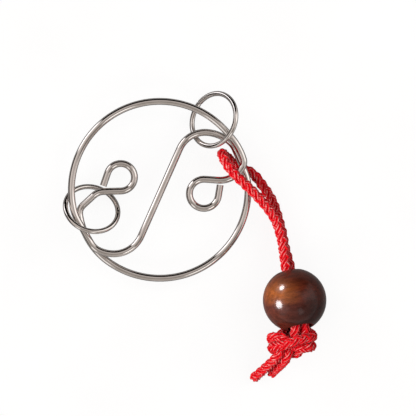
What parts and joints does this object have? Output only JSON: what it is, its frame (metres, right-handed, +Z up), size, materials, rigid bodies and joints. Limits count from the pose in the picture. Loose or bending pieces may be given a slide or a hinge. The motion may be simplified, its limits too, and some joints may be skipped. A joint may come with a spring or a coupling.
{
  "type": "wire disentanglement puzzle",
  "caption": "Bent-wire puzzle: a circle crossed by an S-curve ending in eyelets, loose wire rings hung on it, and a doubled cord through a round wooden bead.",
  "frame": {"origin": "centre of the big wire circle, on the plane the puzzle rests on", "axes": "+Z up out of the rest plane; the puzzle lies flat in X and Y with the bead towards +X and -Y"},
  "size_m": [0.083, 0.0922, 0.02],
  "materials": {
    "nickel_plated_wire": "bright nickel plate, slightly warm",
    "lacquered_wood": "dark brown wood under clear gloss lacquer",
    "red_cord": "braided red polyester cord, slight sheen"
  },
  "bodies": {
    "frame": {"frame_wire": "nickel_plated_wire"},
    "right_ring": {"right_ring": "nickel_plated_wire"},
    "left_ring": {"left_ring": "nickel_plated_wire"},
    "cord_loop": {"cord_loop": "red_cord"},
    "cord_legs": {"cord_legs_and_knot": "red_cord"},
    "bead": {"bead": "lacquered_wood"},
    "cord_ends": {"cord_long_end": "red_cord", "cord_short_end": "red_cord"}
  },
  "joints": [
    {"name": "right_ring_swing", "type": "hinge", "parent": "frame", "child": "right_ring", "pos_m": [0.0171, 0.0222, 0.00605], "axis": [-0.3206, -0.9472, 0], "range_deg": [0, 110]},
    {"name": "left_ring_swing", "type": "hinge", "parent": "frame", "child": "left_ring", "pos_m": [-0.0215, -0.006, 0.00595], "axis": [-0.5, -0.866, 0], "range_deg": [0, 130]},
    {"name": "cord_swing", "type": "hinge", "parent": "frame", "child": "cord_loop", "pos_m": [0.0263, 0.0076, 0.0064], "axis": [0, 0, 1], "range_deg": [-5, 30]},
    {"name": "cord_bend", "type": "hinge", "parent": "cord_loop", "child": "cord_legs", "pos_m": [0.0383, -0.01308, 0.0041], "axis": [0, 0, 1], "range_deg": [-20, 20]},
    {"name": "bead_slide", "type": "slide", "parent": "cord_legs", "child": "bead", "axis": [-0.1843, 0.9482, -0.2588], "range_m": [0, 0.01]},
    {"name": "cord_ends_bend", "type": "hinge", "parent": "cord_legs", "child": "cord_ends", "pos_m": [0.0376, -0.0534, 0.006], "axis": [0, 0, 1], "range_deg": [-20, 20]}
  ]
}
